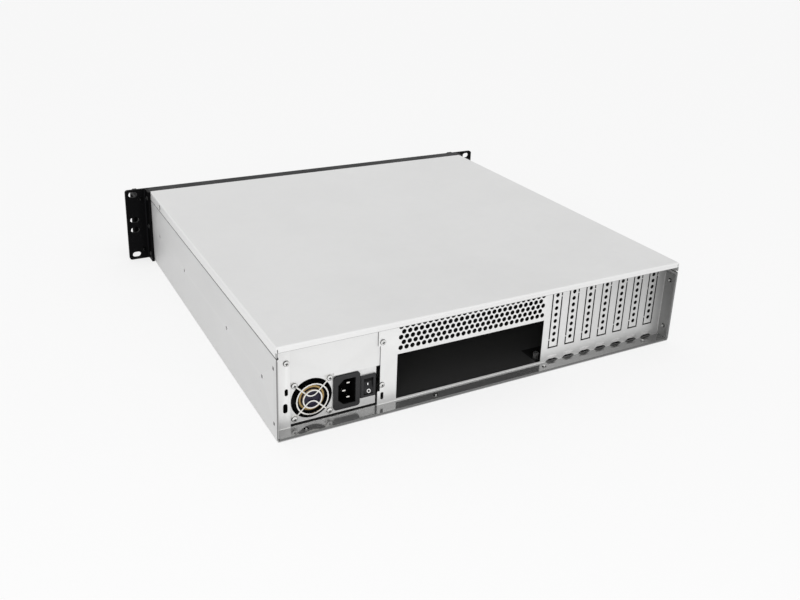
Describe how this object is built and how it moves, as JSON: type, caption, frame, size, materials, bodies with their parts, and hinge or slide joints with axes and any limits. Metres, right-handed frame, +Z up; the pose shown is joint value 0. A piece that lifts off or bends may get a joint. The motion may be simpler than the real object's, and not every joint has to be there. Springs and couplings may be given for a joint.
{
  "type": "rackmount server case",
  "caption": "Low rackmount server case of folded steel: recessed vented rear panel with break-away slot covers, slim power supply, front fans, drive cage, ears and bow handles.",
  "frame": {"origin": "middle of the underside of the case body, handles and ears left out", "axes": "+Z up, -Y out of the front with the rack ears, +Y out of the vented rear panel, +X to the right side seen from the front, where the power supply is"},
  "size_m": [0.4826, 0.473, 0.088],
  "materials": {
    "case_steel": "plain zinc-coated sheet, satin",
    "supply_steel": "plain zinc-coated sheet, matt",
    "fastener_zinc": "bright zinc",
    "black_paint": "black powder coat, matt",
    "fan_plastic": "black moulded, matt",
    "guard_wire": "bright plated wire",
    "black_plastic": "black moulded, half gloss",
    "pin_nickel": "bright nickel",
    "board_laminate": "green lacquer",
    "lamp_plastic": "clear moulded",
    "standoff_steel": "turned and zinc plated"
  },
  "bodies": {
    "case": {"board_spacers": "fan_plastic", "board_standoffs": "standoff_steel", "chassis_tub": "case_steel", "control_board": "board_laminate", "cover_screws": "fastener_zinc", "cross_brace": "case_steel", "drive_cage": "case_steel", "ear_screws": "fastener_zinc", "front_bulkhead": "case_steel", "front_panel": "black_paint", "front_ports": "pin_nickel", "front_switches": "fan_plastic", "guard_screws": "fastener_zinc", "handle_screws": "fastener_zinc", "indicator_lamps": "lamp_plastic", "inlet_pins": "pin_nickel", "left_handle": "black_paint", "left_rack_ear": "black_paint", "lower_bay_blank": "black_paint", "middle_fan_frame": "fan_plastic", "outer_fan_frame": "fan_plastic", "plate_screws": "fastener_zinc", "power_inlet": "black_plastic", "psu_adapter_plate": "case_steel", "psu_bracket": "case_steel", "psu_case": "supply_steel", "psu_fan_frame": "fan_plastic", "psu_fan_guard": "guard_wire", "psu_lid": "supply_steel", "rear_panel": "case_steel", "rear_rivets": "fastener_zinc", "right_handle": "black_paint", "right_rack_ear": "black_paint", "switch_bezel": "black_plastic", "top_cover": "case_steel", "upper_bay_blank": "black_paint"},
    "psu_fan": {"psu_fan_rotor": "fan_plastic"},
    "outer_fan": {"outer_fan_rotor": "fan_plastic"},
    "middle_fan": {"middle_fan_rotor": "fan_plastic"},
    "rocker": {"switch_rocker": "black_plastic"},
    "power_cap": {"power_button": "black_plastic"},
    "reset_cap": {"reset_button": "black_plastic"}
  },
  "joints": [
    {"name": "psu_fan_spin", "type": "hinge", "parent": "case", "child": "psu_fan", "pos_m": [0.1781, 0.1848, 0.0244], "axis": [0, 1, 0], "continuous": true},
    {"name": "outer_fan_spin", "type": "hinge", "parent": "case", "child": "outer_fan", "pos_m": [-0.101, -0.21, 0.044], "axis": [0, 1, 0], "continuous": true},
    {"name": "middle_fan_spin", "type": "hinge", "parent": "case", "child": "middle_fan", "pos_m": [-0.011, -0.21, 0.044], "axis": [0, 1, 0], "continuous": true},
    {"name": "rocker_tilt", "type": "hinge", "parent": "case", "child": "rocker", "pos_m": [0.1254, 0.192, 0.0234], "axis": [-1, 0, 0], "range_deg": [0, 24]},
    {"name": "power_press", "type": "slide", "parent": "case", "child": "power_cap", "axis": [0, 1, 0], "range_m": [0, 0.0015], "stiffness_N_per_m": 400, "springref_m": -0.001},
    {"name": "reset_press", "type": "slide", "parent": "case", "child": "reset_cap", "axis": [0, 1, 0], "range_m": [0, 0.0015], "stiffness_N_per_m": 400, "springref_m": -0.001}
  ]
}
